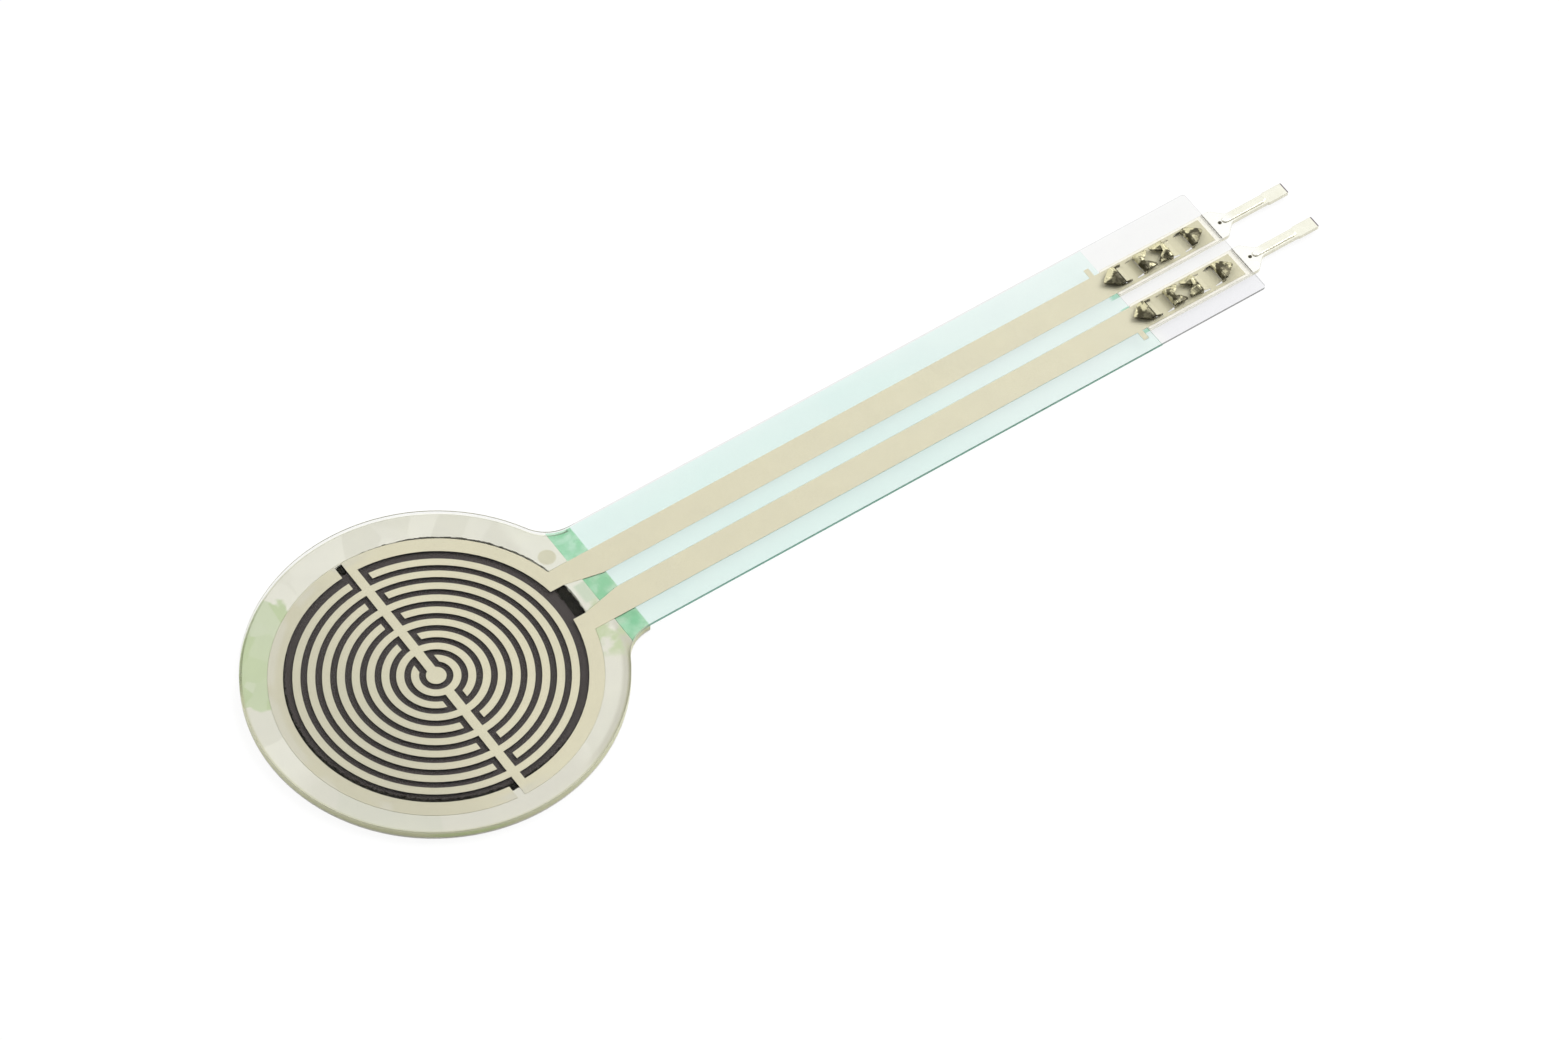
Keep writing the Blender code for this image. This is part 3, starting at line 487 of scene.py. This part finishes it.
def liner_film():
    """The release liner: off-white, satin, with a faint fibrous grain."""
    g = Graph("liner_film")
    fibre = g.noise(0.5, 5.0, 0.65, (1.0, 3.0, 1.0))
    colour = g.mix(fibre, srgb(222, 220, 206), srgb(238, 236, 226))
    shader = g.node("ShaderNodeBsdfPrincipled", Base_Color=colour, Roughness=0.5)
    g.put(shader.inputs["Normal"], g.bump(fibre, 0.008, 0.5))
    return g.surface(shader.outputs[0])


def plate_colour(g, wear, worn, under_film):
    """Bright tin on the tab, duller on the pin, with warmer sheared edges, painted light on the tin
    under the film and painted shade in the dimples.
    """
    plate = g.mix(wear, srgb(247, 247, 240), srgb(251, 251, 246))
    pin = g.mix(wear, srgb(233, 232, 214), srgb(244, 243, 230))
    plate = g.mix(g.step(g.x, PIN_START - 0.2, PIN_START + 0.4), plate, pin)
    # Painted light: the tin and its sheared edges under the film are paler, to read as brightly lit as
    # the open tin
    covered = g.mix(wear, srgb(247, 244, 233), srgb(253, 251, 243))
    plate = g.mix(under_film, plate, covered)
    sheared = g.mix(wear, srgb(218, 214, 192), srgb(240, 238, 222))
    sheared = g.mix(under_film, sheared, srgb(252, 250, 238))
    plate = g.mix(g.edge(), plate, sheared)
    plate = g.mix(g.times(worn, 0.7), plate, srgb(184, 177, 156))
    tip_line = g.times(g.step(g.x, PIN_TIP - 0.03, PIN_TIP - 0.02), g.invert(g.edge()))
    plate = g.mix(tip_line, plate, srgb(128, 120, 124))
    # Painted shade fills the dimples
    dimple_shade = []
    for middle in LEAD_Y:
        off_dimple = g.distance((DIMPLE_X, middle))
        dimple_shade.append(g.step(off_dimple, DIMPLE_RADIUS, DIMPLE_RADIUS - 0.03))
    return g.mix(g.most(*dimple_shade), plate, srgb(56, 54, 48))


def tooth_colour(g, worn):
    """Strained, tarnished tin in patches of pale and of olive black, with painted shade that makes the
    near sides darkest.
    """
    strain = g.noise(0.3, 2.0, 0.5)
    # Painted light and shade make the far half of each tab lighter and the near half darker, with a
    # painted highlight on the third tooth; the last tooth is darker
    across = g.step(g.across_tab(), -0.3, 0.3, 0.0, 0.5)
    light = g.math("ADD", across, g.step(strain, 0.38, 0.62, -0.2, 0.7))
    on_third = g.band(g.x, THIRD_TOOTH_START, LAST_WINDOW_MIDDLE, 0.2)
    light = g.math("ADD", light, g.times(on_third, 0.2))
    on_last = g.step(g.x, LAST_TOOTH_START, LAST_TOOTH_START + 0.2, 0.0, 0.35)
    light = g.math("SUBTRACT", light, on_last)
    tooth = g.mix(g.step(light, 0.1, 0.9), srgb(66, 61, 37), srgb(214, 208, 169))
    # Painted shade: olive black on the near half of the first tooth and on faces turned to the near side
    on_first = g.step(g.x, FIRST_TOOTH_END, FIRST_TOOTH_END - 0.15)
    near_half = g.step(g.across_tab(), 0.0, -0.1, 0.0, 0.85)
    near_face = g.step(g.face_y, -0.05, -0.45, 0.0, 0.8)
    near_shade = g.most(g.times(on_first, near_half), near_face)
    tooth = g.mix(near_shade, tooth, srgb(58, 54, 34))
    return g.mix(g.times(worn, 0.8), tooth, srgb(64, 60, 44))


def tinned_brass():
    """The tabs: tin plate, strained and tarnished on the teeth, with painted shade in the slots they
    tore.
    """
    g = Graph("tinned_brass")
    wear = g.noise(0.35, 4.0, 0.6)
    worn = g.rubbed(0.05)
    on_tooth = g.step(g.z, FILM_TOP - 0.02, FILM_TOP + 0.02)
    under_film = g.times(g.step(g.x, FILM_END, FILM_END - 0.02), g.invert(on_tooth))
    colour = g.mix(on_tooth, plate_colour(g, wear, worn, under_film), tooth_colour(g, worn))
    # The legs in the slots are matt, in the torn walls' colour with its painted shade by the first and
    # the last tooth
    leg = g.times(g.band(g.x, CRIMP_START, CRIMP_END - 0.1, 0.05), g.over_tabs(CRIMP_HALF_WIDTH))
    leg = g.times(leg, g.invert(on_tooth))
    colour = g.mix(leg, colour, g.torn_wall_colour_and_shade())
    covered_face = g.times(under_film, g.invert(g.edge()))
    dull = g.most(leg, covered_face, g.times(on_tooth, 0.5), 0.35)
    shader = g.node("ShaderNodeBsdfPrincipled", Base_Color=colour, Metallic=g.invert(dull))
    rough = g.math("ADD", g.step(wear, 0.3, 0.7, 0.1, 0.16), g.times(on_tooth, 0.16))
    g.put(shader.inputs["Roughness"], rough)
    dents = g.times(g.noise(0.45, 1.0), g.step(on_tooth, 0.0, 1.0, 0.05, 1.0))
    g.put(shader.inputs["Normal"], g.bump(dents, 0.08, 1.0))
    return g.surface(shader.outputs[0])


# Each material, with the CAD nodes that wear it
LOOKS = (
    (clear_film, ("conductive_film",)),
    (green_coat, ("tail_dielectric",)),
    (spacer_acrylic, ("spacer_adhesive",)),
    (lower_film, ("sensing_film",)),
    (carbon_ink, ("sensing_ink",)),
    (rear_acrylic, ("rear_adhesive",)),
    (liner_film, ("release_liner",)),
    (silver_ink, ("electrode_a", "electrode_b", "support_ring")),
    (tinned_brass, ("terminal_a", "terminal_b")),
)


def dress():
    """Gives each CAD node its material."""
    for make, names in LOOKS:
        material = make()
        for name in names:
            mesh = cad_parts[name].data
            mesh.materials.clear()
            mesh.materials.append(material)


def make_floor():
    """A pale matt floor that reads white to the eye and keeps the object's soft shadow."""
    half = FLOOR_HALF_WIDTH
    mesh = bpy.data.meshes.new("floor")
    corners = [(-half, -half, 0), (half, -half, 0), (half, half, 0), (-half, half, 0)]
    mesh.from_pydata(corners, [], [(0, 1, 2, 3)])
    floor = bpy.data.objects.new("floor", mesh)
    floor.location.z = -FLOOR_DROP
    bpy.context.scene.collection.objects.link(floor)
    g = Graph("floor_paper")
    path = g.tree.nodes.new("ShaderNodeLightPath").outputs
    seen = g.most(path["Is Camera Ray"], path["Is Glossy Ray"], path["Is Transmission Ray"])
    paper = (0.86, 0.86, 0.86, 1.0)
    seen_paper = (0.13, 0.13, 0.13, 1.0)
    matt = g.node("ShaderNodeBsdfDiffuse", Color=g.mix(seen, paper, seen_paper)).outputs[0]
    glow = g.node("ShaderNodeEmission", Color=(1.0, 1.0, 1.0, 1.0))
    g.put(glow.inputs["Strength"], g.times(seen, 0.88))
    both = g.tree.nodes.new("ShaderNodeAddShader")
    g.put(both.inputs[0], matt)
    g.put(both.inputs[1], glow.outputs[0])
    mesh.materials.append(g.surface(both.outputs[0]))


def make_light(name, place, size, power):
    """A square softbox at place, size metres wide, aimed at LIGHT_AIM."""
    lamp = bpy.data.lights.new(name, "AREA")
    lamp.size = size
    lamp.energy = power
    light = bpy.data.objects.new(name, lamp)
    light.location = place
    aim = LIGHT_AIM - light.location
    light.rotation_euler = aim.to_track_quat("-Z", "Y").to_euler()
    bpy.context.scene.collection.objects.link(light)


def make_world():
    """A studio that is brightest high up behind the object, and dimmer away from there."""
    world = bpy.data.worlds.new("studio")
    bpy.context.scene.world = world
    world.use_nodes = True
    tree = world.node_tree

    direction = tree.nodes.new("ShaderNodeTexCoord")
    toward = tree.nodes.new("ShaderNodeVectorMath")
    toward.operation = "DOT_PRODUCT"
    tree.links.new(direction.outputs["Generated"], toward.inputs[0])
    toward.inputs[1].default_value = BRIGHT_SIDE
    strength = tree.nodes.new("ShaderNodeMapRange")
    strength.interpolation_type = "SMOOTHSTEP"
    strength.inputs["From Min"].default_value = 0.25
    strength.inputs["From Max"].default_value = 0.9
    strength.inputs["To Min"].default_value = 0.22
    strength.inputs["To Max"].default_value = 1.0
    tree.links.new(toward.outputs["Value"], strength.inputs["Value"])
    background = tree.nodes["Background"]
    background.inputs["Color"].default_value = (1.0, 1.0, 1.0, 1.0)
    tree.links.new(strength.outputs["Result"], background.inputs["Strength"])


def make_camera():
    """The photograph's camera, as a long lens without shift."""
    camera = bpy.data.objects.new("camera", bpy.data.cameras.new("camera"))
    camera.data.lens = CAMERA_LENS
    camera.data.sensor_width = SENSOR_WIDTH
    camera.data.sensor_fit = "HORIZONTAL"
    camera.data.clip_start = 0.01
    camera.data.clip_end = 10.0
    camera.location = CAMERA_PLACE
    camera.rotation_euler = Euler([radians(angle) for angle in CAMERA_TURN])
    bpy.context.scene.collection.objects.link(camera)
    bpy.context.scene.camera = camera


dress()
make_camera()
make_floor()
make_world()
make_light("key", KEY_PLACE, KEY_SIZE, KEY_POWER)
make_light("fill", FILL_PLACE, FILL_SIZE, FILL_POWER)
bpy.context.scene.view_settings.view_transform = "Standard"
